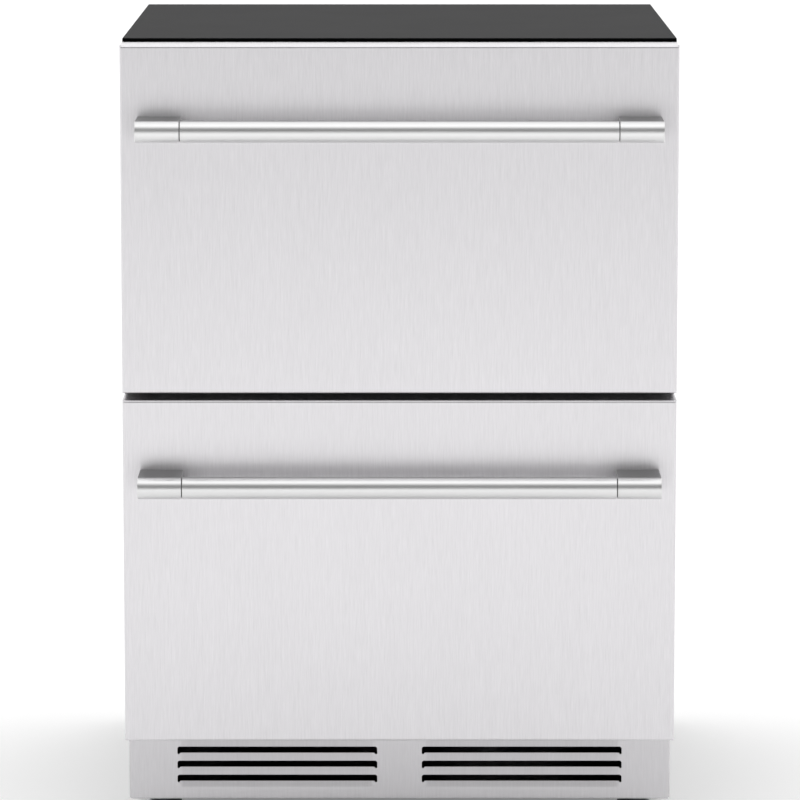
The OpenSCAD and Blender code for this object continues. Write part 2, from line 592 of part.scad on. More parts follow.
// magnetic seal: base, bellows and magnet pocket
module gasket(op) color([0.35, 0.35, 0.36]) union() {
  ring(y_fback, y_fback + 1.5, open_x + 3, open_x + 18, op[0], op[1], 3, 18);
  ring(y_fback + 1.4, y_fback + 2.7, open_x + 7, open_x + 13, op[0], op[1], 7, 13);
  ring(y_fback + 2.6, y_fback + 4.4, open_x + 5, open_x + 16, op[0], op[1], 5, 16);
}
module handle_bar(z0) color(steel) {
  z = z0 + front_h - handle_drop;
  difference() {
    xcyl(y_bar, z, -hx + post_l + 0.3, hx - post_l - 0.3, handle_d / 2);
    xcyl(y_bar, z, -hx, hx, handle_d / 2 - 1.6);
  }
}
module handle_posts(z0) color(steel) {
  z = z0 + front_h - handle_drop;
  both() difference() {
    union() {
      xcyl(y_bar, z, hx - post_l, hx, handle_d / 2);
      box(hx - post_l, hx, y_bar, y_face, z - handle_d / 2, z + handle_d / 2);
      xcyl(y_bar, z, hx - post_l - 24, hx - post_l + e, handle_d / 2 - 1.7);
    }
    for (x = screw_x) ycyl(x, z, y_face - 24.5, y_face + 1, 2.6);
  }
}
module handle_screws(z0) color(steel) {
  z = z0 + front_h - handle_drop;
  both() for (x = screw_x) {
    ycyl(x, z, y_face - 22, y_face + skin_t + e, 2.5);
    difference() {
      ycyl(x, z, y_face + skin_t, y_face + skin_t + 4, 4.6);
      ycyl(x, z, y_face + skin_t + 1.8, y_face + skin_t + 5, 2.2, $fn = 6);
    }
  }
}

module bin(bz, d) color(steel) {
  // floor pan, front and rear walls, and side walls, spot welded with a hairline between them
  box(-bin_x, bin_x, bin_y, bin_y + d, bz[0], bz[0] + bin_t);
  for (y = [bin_y, bin_y + d - bin_t]) box(-bin_x, bin_x, y, y + bin_t, bz[0] + bin_t + weld, bz[1]);
  both() {
    box(bin_x - bin_t, bin_x, bin_y + bin_t + weld, bin_y + d - bin_t - weld, bz[0] + bin_t + weld, bz[1]);
    // rim that hangs on the side brackets
    box(bin_x - e, bin_x + 8, bin_y + 14, bin_y + d - 14, bz[1] - 2, bz[1]);
  }
}
module side_brackets(bz, sz) color(steel) both() {
  box(open_x - 15, open_x - 13, y_frame - 2, y_slide + slide_l - 6, sz - 22, bz[1] - 2);
  box(open_x - 15, open_x - 7, y_frame + 5, y_slide + slide_l - 6, bz[1] - 4, bz[1] - 2);
  // tab screwed to the drawer front
  box(open_x - 47, open_x - 13, y_frame - 2, y_frame, bz[0] + 40, bz[1] - 4);
}
module divider() color([0.85, 0.93, 0.95]) {
  y0 = bin_y + bin_t;
  y1 = bin_y + upper_bin_d - bin_t;
  union() {
    box(-1.5, 1.5, y0 + 0.5, y1 - 0.5, up_bin_z[0] + bin_t + 0.5, up_bin_z[1] - 20);
    // hooks over the front and rear walls of the bin
    for (y = [[bin_y - 2.5, y0 + 8], [y1 - 8, bin_y + upper_bin_d + 2.5]])
      box(-8, 8, y[0], y[1], up_bin_z[1] + 0.2, up_bin_z[1] + 2.4);
    for (y = [y0 + 0.5, y1 - 2.5]) box(-1.5, 1.5, y, y + 2, up_bin_z[1] - 21, up_bin_z[1] + 1);
    for (y = [bin_y - 2.5, bin_y + upper_bin_d + 0.7]) box(-8, 8, y, y + 1.8, up_bin_z[1] - 8, up_bin_z[1] + 1);
  }
}

module upper_front_skin() front_skin(up_z0);
module upper_front_core() front_core(up_z0, up_open);
module upper_front_liner() front_liner(up_z0, up_open);
module upper_gasket() gasket(up_open);
module upper_handle_bar() handle_bar(up_z0);
module upper_handle_posts() handle_posts(up_z0);
module upper_handle_screws() handle_screws(up_z0);
module upper_bin() bin(up_bin_z, upper_bin_d);
module upper_side_brackets() side_brackets(up_bin_z, up_slide_z);
module upper_divider() divider();
module lower_front_skin() front_skin(lo_z0);
module lower_front_core() front_core(lo_z0, lo_open);
module lower_front_liner() front_liner(lo_z0, lo_open);
module lower_gasket() gasket(lo_open);
module lower_handle_bar() handle_bar(lo_z0);
module lower_handle_posts() handle_posts(lo_z0);
module lower_handle_screws() handle_screws(lo_z0);
module lower_bin() bin(lo_bin_z, lower_bin_d);
module lower_side_brackets() side_brackets(lo_bin_z, lo_slide_z);

cabinet_shell();
back_panel();
rear_cover();
case_screws();
base_pan();
bulkhead();
foam_body();
liner();
front_frame();
center_rail();
toe_grille();
control_housing();
control_glass();
light_lenses();
duct_cover();
evaporator_coil();
evaporator_fan_motor();
evaporator_fan();
compressor();
compressor_grommets();
condenser_coil();
fan_shroud();
condenser_fan_motor();
condenser_fan();
drain_pan();
refrigerant_lines();
cord_gland();
leg_front_left();
leg_front_right();
leg_rear_left();
leg_rear_right();
upper_slide_outer();
upper_slide_middle();
upper_slide_inner();
upper_outer_ball_cages();
upper_inner_ball_cages();
lower_slide_outer();
lower_slide_middle();
lower_slide_inner();
lower_outer_ball_cages();
lower_inner_ball_cages();
upper_front_skin();
upper_front_core();
upper_front_liner();
upper_gasket();
upper_handle_bar();
upper_handle_posts();
upper_handle_screws();
upper_bin();
upper_side_brackets();
upper_divider();
lower_front_skin();
lower_front_core();
lower_front_liner();
lower_gasket();
lower_handle_bar();
lower_handle_posts();
lower_handle_screws();
lower_bin();
lower_side_brackets();
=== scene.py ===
import bpy
import bmesh
import math
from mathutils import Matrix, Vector


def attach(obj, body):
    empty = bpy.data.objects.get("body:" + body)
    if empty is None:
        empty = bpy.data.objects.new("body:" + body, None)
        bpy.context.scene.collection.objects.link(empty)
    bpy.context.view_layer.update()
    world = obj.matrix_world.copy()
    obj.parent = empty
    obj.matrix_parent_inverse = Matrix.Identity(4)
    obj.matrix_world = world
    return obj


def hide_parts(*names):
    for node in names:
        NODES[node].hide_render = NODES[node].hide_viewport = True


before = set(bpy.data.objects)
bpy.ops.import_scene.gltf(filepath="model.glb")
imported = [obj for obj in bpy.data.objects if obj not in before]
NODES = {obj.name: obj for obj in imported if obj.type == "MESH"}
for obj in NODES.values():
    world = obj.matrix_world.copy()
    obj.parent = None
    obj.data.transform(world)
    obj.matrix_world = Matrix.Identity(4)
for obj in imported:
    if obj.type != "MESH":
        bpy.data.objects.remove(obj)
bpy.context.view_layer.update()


# ---------------------------------------------------------------- node graphs
class Graph:
    """A material's node tree, built call by call. Sizes are in metres, in the object's own space."""

    def __init__(self, name):
        self.mat = bpy.data.materials.new(name)
        self.mat.use_nodes = True
        self.tree = self.mat.node_tree
        self.tree.nodes.clear()
        self.out = self.add("ShaderNodeOutputMaterial")
        self.bsdf = self.add("ShaderNodeBsdfPrincipled")
        self.link(self.bsdf.outputs[0], self.out.inputs[0])
        self.place = self.add("ShaderNodeTexCoord").outputs["Object"]
        self.geometry = self.add("ShaderNodeNewGeometry")

    def add(self, kind, **props):
        node = self.tree.nodes.new(kind)
        for key, value in props.items():
            setattr(node, key, value)
        return node

    def link(self, a, b):
        self.tree.links.new(a, b)

    def put(self, socket, value):
        if isinstance(value, bpy.types.NodeSocket):
            self.link(value, socket)
        elif isinstance(value, (tuple, list)) and socket.type == "RGBA" and len(value) == 3:
            socket.default_value = (*value, 1.0)
        else:
            socket.default_value = value

    def math(self, op, a, b=0.5, c=0.5, clamp=False):
        node = self.add("ShaderNodeMath", operation=op, use_clamp=clamp)
        for k, v in enumerate((a, b, c)):
            self.put(node.inputs[k], v)
        return node.outputs[0]

    def vec(self, op, a, b=(0.0, 0.0, 0.0), scale=1.0):
        node = self.add("ShaderNodeVectorMath", operation=op)
        self.put(node.inputs[0], a)
        if op == "SCALE":
            self.put(node.inputs[3], scale)
        else:
            self.put(node.inputs[1], b)
        return node.outputs[0]

    def axes(self, vector):
        return self.add_split(vector).outputs

    def add_split(self, vector):
        node = self.add("ShaderNodeSeparateXYZ")
        self.put(node.inputs[0], vector)
        return node

    def join(self, x, y, z):
        node = self.add("ShaderNodeCombineXYZ")
        for k, v in enumerate((x, y, z)):
            self.put(node.inputs[k], v)
        return node.outputs[0]

    def scaled(self, size, where=None):
        """Coordinates in which one unit is size millimetres along each axis."""
        size = (size,) * 3 if isinstance(size, (int, float)) else size
        return self.vec("MULTIPLY", where or self.place, tuple(1000.0 / s for s in size))

    def noise(self, size, detail=2.0, rough=0.5, twist=0.0, where=None):
        node = self.add("ShaderNodeTexNoise", noise_dimensions="3D")
        self.put(node.inputs["Vector"], self.scaled(size, where))
        self.put(node.inputs["Scale"], 1.0)
        self.put(node.inputs["Detail"], detail)
        self.put(node.inputs["Roughness"], rough)
        self.put(node.inputs["Distortion"], twist)
        return node.outputs[0]

    def cells(self, size, feature="F1", output="Distance", random=1.0, where=None):
        node = self.add("ShaderNodeTexVoronoi", voronoi_dimensions="3D", feature=feature)
        self.put(node.inputs["Vector"], self.scaled(size, where))
        self.put(node.inputs["Scale"], 1.0)
        self.put(node.inputs["Randomness"], random)
        return node.outputs[output]

    def spread(self, value, lo, hi, a=0.25, b=0.75, smooth=False):
        node = self.add("ShaderNodeMapRange", clamp=True)
        if smooth:
            node.interpolation_type = "SMOOTHSTEP"
        for key, v in (("Value", value), ("From Min", a), ("From Max", b), ("To Min", lo), ("To Max", hi)):
            self.put(node.inputs[key], v)
        return node.outputs[0]

    def mix(self, a, b, fac, blend="MIX"):
        node = self.add("ShaderNodeMix", data_type="RGBA", blend_type=blend)
        self.put(node.inputs[0], fac)
        self.put(node.inputs[6], a)
        self.put(node.inputs[7], b)
        return node.outputs[2]

    def mix_vec(self, a, b, fac):
        node = self.add("ShaderNodeMix", data_type="VECTOR")
        self.put(node.inputs[0], fac)
        self.put(node.inputs[4], a)
        self.put(node.inputs[5], b)
        return node.outputs[1]

    def tint(self, colour, factor):
        """A colour times a number."""
        if isinstance(colour, tuple):
            node = self.add("ShaderNodeRGB")
            node.outputs[0].default_value = (*colour, 1.0)
            colour = node.outputs[0]
        return self.vec("SCALE", colour, scale=factor)

    def bump(self, height, strength, mm, normal=None):
        node = self.add("ShaderNodeBump")
        self.put(node.inputs["Strength"], strength)
        self.put(node.inputs["Distance"], mm / 1000.0)
        self.put(node.inputs["Height"], height)
        if normal is not None:
            self.link(normal, node.inputs["Normal"])
        return node.outputs[0]

    def facing(self, axis, a=0.6, b=0.8):
        """1 on faces that look along the axis, 0 on the others."""
        n = self.axes(self.geometry.outputs["Normal"])[axis]
        return self.spread(self.math("ABSOLUTE", n), 0.0, 1.0, a, b)

    def set(self, **values):
        names = {
            "colour": "Base Color", "metal": "Metallic", "rough": "Roughness", "normal": "Normal", "ior": "IOR",
            "specular": "Specular IOR Level", "aniso": "Anisotropic", "tangent": "Tangent", "coat": "Coat Weight",
            "coat_rough": "Coat Roughness", "clear": "Transmission Weight", "sub": "Subsurface Weight",
            "sub_radius": "Subsurface Radius", "sub_scale": "Subsurface Scale", "sheen": "Sheen Weight",
            "glow": "Emission Color", "glow_strength": "Emission Strength", "tint": "Specular Tint",
        }
        for key, value in values.items():
            self.put(self.bsdf.inputs[names[key]], value)
        return self.mat


def total(g, *terms):
    value = terms[0]
    for t in terms[1:]:
        value = g.math("ADD", value, t)
    return value


# ------------------------------------------------------------------ materials
def brushed(name, colour, rough, along, grain=0.05, broad=0.02, aniso=0.45, bump=0.03, wave=0.0, cut=0.0):
    """Sheet or bar with a brushed grain. along is the axis the grain runs in: 0 is X, and 2 is Z, which turns to Y on
    level faces. cut darkens the colour of the flat faces that look along X or Z by that fraction.
    """
    g = Graph(name)
    if along == 2:
        front, side, level = (1.0, 0.0, 0.02), (0.0, 1.0, 0.02), (1.0, 0.02, 0.0)
        where = g.mix_vec(g.vec("MULTIPLY", g.place, front), g.vec("MULTIPLY", g.place, side), g.facing(0, 0.69, 0.72))
        where = g.mix_vec(where, g.vec("MULTIPLY", g.place, level), g.facing(2, 0.9, 0.92))
        axis = "Z"
    else:
        where = g.vec("MULTIPLY", g.place, (0.02, 1.0, 1.0))
        axis = "X"
    fine = g.noise((0.8, 0.8, 0.35), 2.0, 0.6, where=where)
    mid = g.noise((2.3, 2.3, 0.75), 3.0, 0.6, where=where)
    wide = g.noise(9.0, 2.0, 0.5, where=where)
    cloud = g.noise(110.0, 2.0, 0.5)
    factor = total(
        g,
        g.spread(fine, 1.0 - grain * 0.5, 1.0 + grain * 0.5, 0.2, 0.8),
        g.spread(mid, -grain * 0.55, grain * 0.55, 0.2, 0.8),
        g.spread(wide, -broad * 0.5, broad * 0.5, 0.2, 0.8),
        g.spread(cloud, -broad * 0.6, broad * 0.6, 0.25, 0.75),
    )
    roughness = total(
        g,
        g.spread(mid, rough - 0.03, rough + 0.03),
        g.spread(cloud, -0.015, 0.02),
    )
    height = total(g, g.math("MULTIPLY", fine, 0.5), mid)
    normal = g.bump(height, bump, 0.05)
    if wave:
        normal = g.bump(g.noise(160.0, 1.0, 0.4), wave, 0.6, normal)
    tangent = g.add("ShaderNodeTangent", direction_type="RADIAL", axis=axis)
    # cut: faces whose normal lies within a few degrees of X or Z get their colour darkened by this fraction.
    if cut:
        flat = g.math("MAXIMUM", g.facing(0, 0.985, 0.999), g.facing(2, 0.985, 0.999))
        factor = g.math("MULTIPLY", factor, g.math("SUBTRACT", 1.0, g.math("MULTIPLY", flat, cut)))
    return g.set(
        colour=g.tint(colour, factor), metal=1.0, rough=roughness, normal=normal, aniso=aniso,
        tangent=tangent.outputs[0],
    )


def enamel(name, colour, rough, specular, peel=0.12, speck=0.25, uneven=0.05, edge=None):
    """Baked powder coat: a fine orange peel, with a slightly uneven gloss and a few dust specks."""
    g = Graph(name)
    peel_noise = g.noise(0.9, 2.0, 0.55)
    fine = g.noise(0.28, 1.0, 0.5)
    cloud = g.noise(70.0, 3.0, 0.55)
    dust = g.spread(g.cells(5.5), 1.0, 0.0, 0.02, 0.07)
    shade = total(g, g.spread(cloud, 0.9, 1.1), g.spread(fine, -0.06, 0.06))
    more = {}
    # Painted shade: when edge is given, faces that look forward (-Y) take the edge colour and a near-black specular
    # tint, so the front edges read as the shadowed gap between the cabinet and the drawer fronts.
    if edge is not None:
        front_shade = g.spread(g.axes(g.geometry.outputs["Normal"])[1], 1.0, 0.0, -0.8, -0.5)
        colour = g.mix((*colour, 1.0), (*edge, 1.0), front_shade)
        more["tint"] = g.mix((1.0, 1.0, 1.0, 1.0), (0.02, 0.02, 0.02, 1.0), front_shade)
    base = g.mix(g.tint(colour, shade), (0.30, 0.29, 0.28), g.math("MULTIPLY", dust, speck))
    height = total(g, peel_noise, g.math("MULTIPLY", fine, 0.35))
    return g.set(
        colour=base, rough=total(g, g.spread(cloud, rough - uneven, rough + uneven), g.math("MULTIPLY", dust, 0.15)),
        specular=specular, normal=g.bump(height, peel, 0.08), **more,
    )


def zinc_coat(name, dark, light, cell, rough):
    """Hot-dip galvanised sheet: crystal spangles with different greys and gloss, and a faint rolling grain."""
    g = Graph(name)
    warp = g.vec("ADD", g.place, g.vec("SCALE", g.join(g.noise(cell * 0.7), g.noise(cell * 0.75), g.noise(cell * 0.8)), scale=cell * 0.0005))
    crystal = g.axes(g.cells(cell, output="Color", where=warp))
    edge = g.cells(cell, "DISTANCE_TO_EDGE", where=warp)
    feather = g.noise((cell * 0.08, cell * 0.5, cell * 0.5), 3.0, 0.6, 1.2)
    cloud = g.noise(150.0, 2.0, 0.5)
    tone = total(g, g.math("MULTIPLY", crystal[0], 0.62), g.spread(feather, -0.10, 0.18), g.spread(cloud, -0.1, 0.15))
    base = g.mix(dark, light, g.math("MULTIPLY", tone, 1.0, clamp=True))
    seam = g.spread(edge, 0.86, 1.0, 0.0, 0.06)
    return g.set(
        colour=g.tint(base, seam), metal=0.92,
        rough=total(g, g.spread(crystal[1], rough - 0.08, rough + 0.1, 0.0, 1.0), g.spread(feather, -0.04, 0.05)),
        normal=g.bump(total(g, g.math("MULTIPLY", crystal[2], 0.4), feather, g.math("MULTIPLY", edge, 2.0)), 0.10, 0.12),
    )


def bright_zinc(name, colour, rough):
    """Electroplated steel: a bluish metal with a little yellow passivation and rolling lines."""
    g = Graph(name)
    cloud = g.noise(24.0, 3.0, 0.6)
    lines = g.noise((0.35, 14.0, 0.35), 2.0, 0.6)
    speck = g.cells(1.4)
    base = g.mix(colour, (0.62, 0.60, 0.50), g.spread(cloud, 0.0, 0.35, 0.45, 0.8))
    shade = total(g, g.spread(lines, 0.93, 1.06), g.spread(speck, -0.04, 0.02, 0.0, 0.5))
    return g.set(
        colour=g.tint(base, shade), metal=1.0, rough=total(g, g.spread(cloud, rough - 0.05, rough + 0.08), g.spread(lines, -0.03, 0.04)),
        normal=g.bump(total(g, lines, g.math("MULTIPLY", speck, 0.3)), 0.06, 0.05),
    )


def moulded(name, colour, rough, grain=0.35, texture=0.06, specular=0.5, sub=0.0, mottling=0.04):
    """Injection moulded or vacuum formed plastic: a spark-eroded grain, with soft flow marks."""
    g = Graph(name)
    pits = g.cells(grain, "SMOOTH_F1")
    fine = g.noise(grain * 0.6, 2.0, 0.6)
    flow = g.noise((60.0, 60.0, 30.0), 2.0, 0.5, 0.8)
    shade = total(g, g.spread(flow, 1.0 - mottling, 1.0 + mottling), g.spread(fine, -0.025, 0.025))
    values = dict(
        colour=g.tint(colour, shade), rough=total(g, g.spread(flow, rough - 0.04, rough + 0.05), g.spread(fine, -0.03, 0.03)),
        specular=specular, normal=g.bump(total(g, pits, g.math("MULTIPLY", fine, 0.6)), texture, 0.06),
    )
    if sub:
        values.update(sub=sub, sub_radius=(1.0, 0.9, 0.8), sub_scale=0.002)
    return g.set(**values)


def rubber(name, colour, rough, ribs=False):
    """Soft compound: matt, with a talc bloom and a fine tooth."""
    g = Graph(name)
    bloom = g.noise(16.0, 3.0, 0.6)
    tooth = g.noise(0.35, 2.0, 0.6)
    base = g.mix(g.tint(colour, g.spread(tooth, 0.9, 1.12)), (0.28, 0.28, 0.28), g.spread(bloom, 0.0, 0.16, 0.4, 0.85))
    return g.set(colour=base, rough=g.spread(bloom, rough - 0.05, rough + 0.1), specular=0.35, normal=g.bump(tooth, 0.12, 0.06))


def foam_mat(name):
    """Rigid polyurethane foam: a honey skin with small open cells."""
    g = Graph(name)
    cell = g.cells(0.9, "SMOOTH_F1")
    blister = g.cells(6.0)
    cloud = g.noise(40.0, 3.0, 0.6)
    base = g.mix((0.62, 0.47, 0.21), (0.83, 0.70, 0.42), g.spread(cloud, 0.0, 1.0))
    base = g.tint(base, total(g, g.spread(cell, 0.8, 1.05, 0.0, 0.7), g.spread(blister, -0.06, 0.04, 0.0, 0.6)))
    return g.set(colour=base, rough=0.85, specular=0.3, normal=g.bump(total(g, cell, g.math("MULTIPLY", blister, 1.5)), 0.5, 0.4))


def glass_black(name):
    """Black glass touch panel: printed black behind a polished pane, with faint wipe marks."""
    g = Graph(name)
    wipe = g.noise((35.0, 6.0, 6.0), 3.0, 0.6, 0.5)
    grit = g.noise(1.2, 2.0, 0.5)
    return g.set(
        colour=g.tint((0.008, 0.008, 0.010), g.spread(grit, 0.8, 1.2)), rough=g.spread(wipe, 0.04, 0.11, 0.45, 0.75), specular=0.6,
        coat=1.0, coat_rough=0.03, normal=g.bump(g.noise(30.0, 1.0, 0.5), 0.01, 0.2),
    )


def lens(name):
    """Milky light lens with prism ribs across it."""
    g = Graph(name)
    ribs = g.add("ShaderNodeTexWave", wave_type="BANDS", bands_direction="X", wave_profile="SIN")
    g.put(ribs.inputs["Vector"], g.scaled(2.4))
    g.put(ribs.inputs["Scale"], 1.0)
    mist = g.noise(9.0, 2.0, 0.5)
    return g.set(
        colour=g.tint((0.86, 0.88, 0.90), g.spread(mist, 0.95, 1.04)), rough=g.spread(mist, 0.22, 0.34), sub=0.6,
        sub_radius=(1.0, 1.0, 1.0), sub_scale=0.003, normal=g.bump(ribs.outputs["Fac"], 0.25, 0.3),
    )


def acrylic(name):
    """Clear moulded divider, faintly blue at its edges, with light scuffs."""
    g = Graph(name)
    scuff = g.noise((2.0, 26.0, 0.6), 3.0, 0.65, 0.6)
    haze = g.noise(45.0, 2.0, 0.5)
    return g.set(
        colour=g.tint((0.90, 0.96, 0.98), g.spread(haze, 0.97, 1.0)), clear=0.94, ior=1.49,
        rough=total(g, g.spread(scuff, 0.02, 0.12, 0.55, 0.8), g.spread(haze, 0.0, 0.03)), normal=g.bump(scuff, 0.015, 0.05),
    )


def bare_metal(name, colour, rough, cast=1.2, tone=0.12, metal=1.0, stain=None):
    """Turned, cast or drawn metal, with a mottled tone and an optional stain."""
    g = Graph(name)
    mottle = g.noise(12.0, 4.0, 0.6)
    fine = g.noise(cast, 3.0, 0.65)
    base = g.tint(colour, total(g, g.spread(mottle, 1.0 - tone, 1.0 + tone), g.spread(fine, -0.06, 0.06)))
    if stain:
        base = g.mix(base, stain, g.spread(g.noise(18.0, 3.0, 0.6, 0.7), 0.0, 0.75, 0.52, 0.78))
    return g.set(
        colour=base, metal=metal, rough=total(g, g.spread(mottle, rough - 0.06, rough + 0.1), g.spread(fine, -0.04, 0.04)),
        normal=g.bump(fine, 0.10, 0.1),
    )


MATS = {
    "stainless_front": brushed("steel_brushed_upright", (0.722, 0.710, 0.728), 0.35, 2, grain=0.105, broad=0.02, aniso=0.3, bump=0.03, wave=0.02),
    # Painted shade: the grille's steel is set darker than the front's (0.615 against 0.722), standing in for the shade
    # under the overhanging drawer fronts.
    "stainless_grille": brushed("steel_brushed_grille_painted_shade", (0.615, 0.605, 0.62), 0.34, 2, grain=0.08, broad=0.025, aniso=0.35, bump=0.03),
    "stainless_bar": brushed("steel_satin_bar", (0.73, 0.73, 0.73), 0.31, 0, grain=0.03, broad=0.02, aniso=0.3, bump=0.02),
    "stainless_bin": brushed("steel_rolled_bin", (0.66, 0.66, 0.67), 0.29, 2, grain=0.05, broad=0.05, aniso=0.25, bump=0.03, wave=0.05),
    # The edge colour paints shade on the forward-facing faces of the black enamel parts.
    "black_enamel": enamel("enamel_black", (0.012, 0.012, 0.0125), 0.82, 0.26, peel=0.16, speck=0.0, uneven=0.02, edge=(0.0010, 0.0010, 0.0011)),
    "galvanised": zinc_coat("zinc_spangle", (0.40, 0.41, 0.42), (0.63, 0.64, 0.65), 8.0, 0.36),
    "zinc_steel": bright_zinc("zinc_bright", (0.60, 0.61, 0.63), 0.30),
    "leg_steel": bright_zinc("zinc_leg", (0.55, 0.56, 0.58), 0.34),
    "foam": foam_mat("foam_rigid"),
    "white_plastic": moulded("plastic_liner_white", (0.80, 0.81, 0.80), 0.34, grain=0.5, texture=0.05, sub=0.12),
    "dark_plastic": moulded("plastic_charcoal", (0.028, 0.029, 0.031), 0.46, grain=0.4, texture=0.14, mottling=0.1),
    "black_glass": glass_black("glass_black"),
    "lens_plastic": lens("lens_milk"),
    "clear_plastic": acrylic("acrylic_clear"),
    "aluminium_coil": bare_metal("aluminium_fin", (0.72, 0.73, 0.74), 0.34, tone=0.08),
    "black_coil": bare_metal("coil_black_paint", (0.035, 0.035, 0.037), 0.42, metal=0.0, tone=0.25),
    "motor_metal": bare_metal("motor_case", (0.50, 0.51, 0.52), 0.40, tone=0.1),
    "compressor_enamel": enamel("enamel_compressor", (0.012, 0.012, 0.013), 0.30, 0.5, peel=0.2, speck=0.3),
    "copper": bare_metal("copper_drawn", (0.72, 0.36, 0.22), 0.30, tone=0.14, stain=(0.25, 0.13, 0.09)),
    "ball_cage": bare_metal("cage_brass", (0.62, 0.52, 0.30), 0.32, tone=0.1),
    "rubber": rubber("rubber_black", (0.022, 0.022, 0.023), 0.62),
    "seal_rubber": rubber("seal_grey", (0.060, 0.060, 0.063), 0.52),
}

OWN = {
    "base_pan": enamel("pan_coating", (0.006, 0.006, 0.006), 0.5, 0.25, peel=0.2, speck=0.2),
    # Painted reflection: the rail's coating is dark grey, lighter than the cabinet's black, standing in for the
    # reflection seen in the gap between the drawer fronts.
    "center_rail": enamel("rail_coating", (0.058, 0.056, 0.059), 0.42, 0.5, peel=0.08, speck=0.0),
}
for name, obj in NODES.items():
    for slot in obj.material_slots:
        slot.material = OWN.get(name) or MATS[slot.material.name.split(".")[0]]


# ------------------------------------------------------------------- geometry
MM = 0.001


def make(name, verts, faces, body, slot, stands_for=(), sharp=32.0, material=None):
    """A piece from points in millimetres. It rides on a body and may stand for CAD nodes."""
    mesh = bpy.data.meshes.new(name)
    mesh.from_pydata([(x * MM, y * MM, z * MM) for x, y, z in verts], [], faces)
    mesh.validate()
    bm = bmesh.new()
    bm.from_mesh(mesh)
    bmesh.ops.recalc_face_normals(bm, faces=bm.faces)
    bm.to_mesh(mesh)
    bm.free()
    mesh.polygons.foreach_set("use_smooth", [True] * len(mesh.polygons))
    mesh.set_sharp_from_angle(angle=math.radians(sharp))
    mesh.materials.append(material or MATS[slot])
    obj = bpy.data.objects.new(name, mesh)
    bpy.context.collection.objects.link(obj)
    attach(obj, body)
    if stands_for:
        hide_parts(*stands_for)
    return obj


def arc(cx, cy, r, a0, a1, n):
    return [(cx + r * math.cos(math.radians(a0 + (a1 - a0) * i / n)), cy + r * math.sin(math.radians(a0 + (a1 - a0) * i / n))) for i in range(n + 1)]


def loft(rings, closed=False, caps=True):
    """Joins rings of equal length. closed joins the last ring to the first; caps closes both ends with one face each."""
    verts = [v for ring in rings for v in ring]
    n = len(rings[0])
    faces = []
    for k in range(len(rings) if closed else len(rings) - 1):
        a, b = k * n, (k + 1) % len(rings) * n
        for i in range(n):
            j = (i + 1) % n
            faces.append((a + i, a + j, b + j, b + i))
    if caps and not closed:
        faces.append(tuple(range(n))[::-1])
        faces.append(tuple(range((len(rings) - 1) * n, len(rings) * n)))
    return verts, faces


def merge(*parts):
    verts, faces = [], []
    for v, f in parts:
        base = len(verts)
        verts += v
        faces += [tuple(base + i for i in face) for face in f]
    return verts, faces


def mirrored(part):
    verts, faces = part
    return [(-x, y, z) for x, y, z in verts], [f[::-1] for f in faces]


def turned_x(profile, cy, cz, n=96, closed=False):
    """A solid turned about the X direction: profile points are (x, radius)."""
    rings = [[(x, cy + r * math.cos(2 * math.pi * i / n), cz + r * math.sin(2 * math.pi * i / n)) for i in range(n)] for x, r in profile]
    return loft(rings, closed=closed)


# ------------------------------------------------ broken edges on carried nodes
EDGES = {
    "cabinet_shell": 0.7, "front_frame": 0.5, "center_rail": 0.6, "back_panel": 0.4, "rear_cover": 0.3, "base_pan": 0.25,
    "bulkhead": 0.3, "upper_front_liner": 1.4, "lower_front_liner": 1.4, "control_housing": 0.9, "control_glass": 0.5,
    "light_lenses": 0.8, "duct_cover": 0.6, "drain_pan": 0.6, "fan_shroud": 0.5, "cord_gland": 0.6, "upper_divider": 0.5,
    "upper_side_brackets": 0.35, "lower_side_brackets": 0.35, "upper_slide_outer": 0.2, "lower_slide_outer": 0.2,
    "upper_slide_middle": 0.3, "lower_slide_middle": 0.3, "upper_slide_inner": 0.3, "lower_slide_inner": 0.3,
}
for name, size in EDGES.items():
    weld = NODES[name].modifiers.new("weld", "WELD")
    weld.merge_threshold = 0.00001
    round_off = NODES[name].modifiers.new("edges", "BEVEL")
    round_off.width, round_off.segments, round_off.limit_method = size * MM, 2, "ANGLE"
    round_off.angle_limit = math.radians(50)
    round_off.use_clamp_overlap, round_off.harden_normals = True, True


# ----------------------------------------------------------- drawer handles
HALF = 297.5
Y_BAR, Y_FACE, BAR_R, BAR_X, POST_X0, POST_X1 = -313.6, -266.6, 11.8, 231.25, 232.05, 278.85


def bar_tube(z):
    """The bar: a drawn tube with broken edges at both ends, so a fine joint shows against each post."""
    inner, lip = 10.2, 0.55
    edge = [(BAR_X - lip + lip * math.sin(math.radians(a)), BAR_R - lip + lip * math.cos(math.radians(a))) for a in (0, 22, 45, 68, 90)]
    outer = [(-x, r) for x, r in edge[::-1]]
    outer += [(x, BAR_R) for x in (-200.0, -140.0, -70.0, 0.0, 70.0, 140.0, 200.0)] + edge
    profile = outer + [(BAR_X, inner), (-BAR_X, inner)]
    return turned_x(profile, Y_BAR, z, 112, closed=True)


def bullet(inset, z):
    """Section of a post: round in front, flat above and below, and square against the drawer front."""
    r = BAR_R - inset
    points = [(Y_FACE, z - r)]
    for k in range(1, 6):
        points.append((Y_FACE + (Y_BAR - Y_FACE) * k / 6, z - r))
    points += [(Y_BAR - r * math.cos(math.radians(a)), z + r * math.sin(math.radians(a))) for a in range(-90, 91, 5)]
    for k in range(5, 0, -1):
        points.append((Y_FACE + (Y_BAR - Y_FACE) * k / 6, z + r))
    points.append((Y_FACE, z + r))
    return points


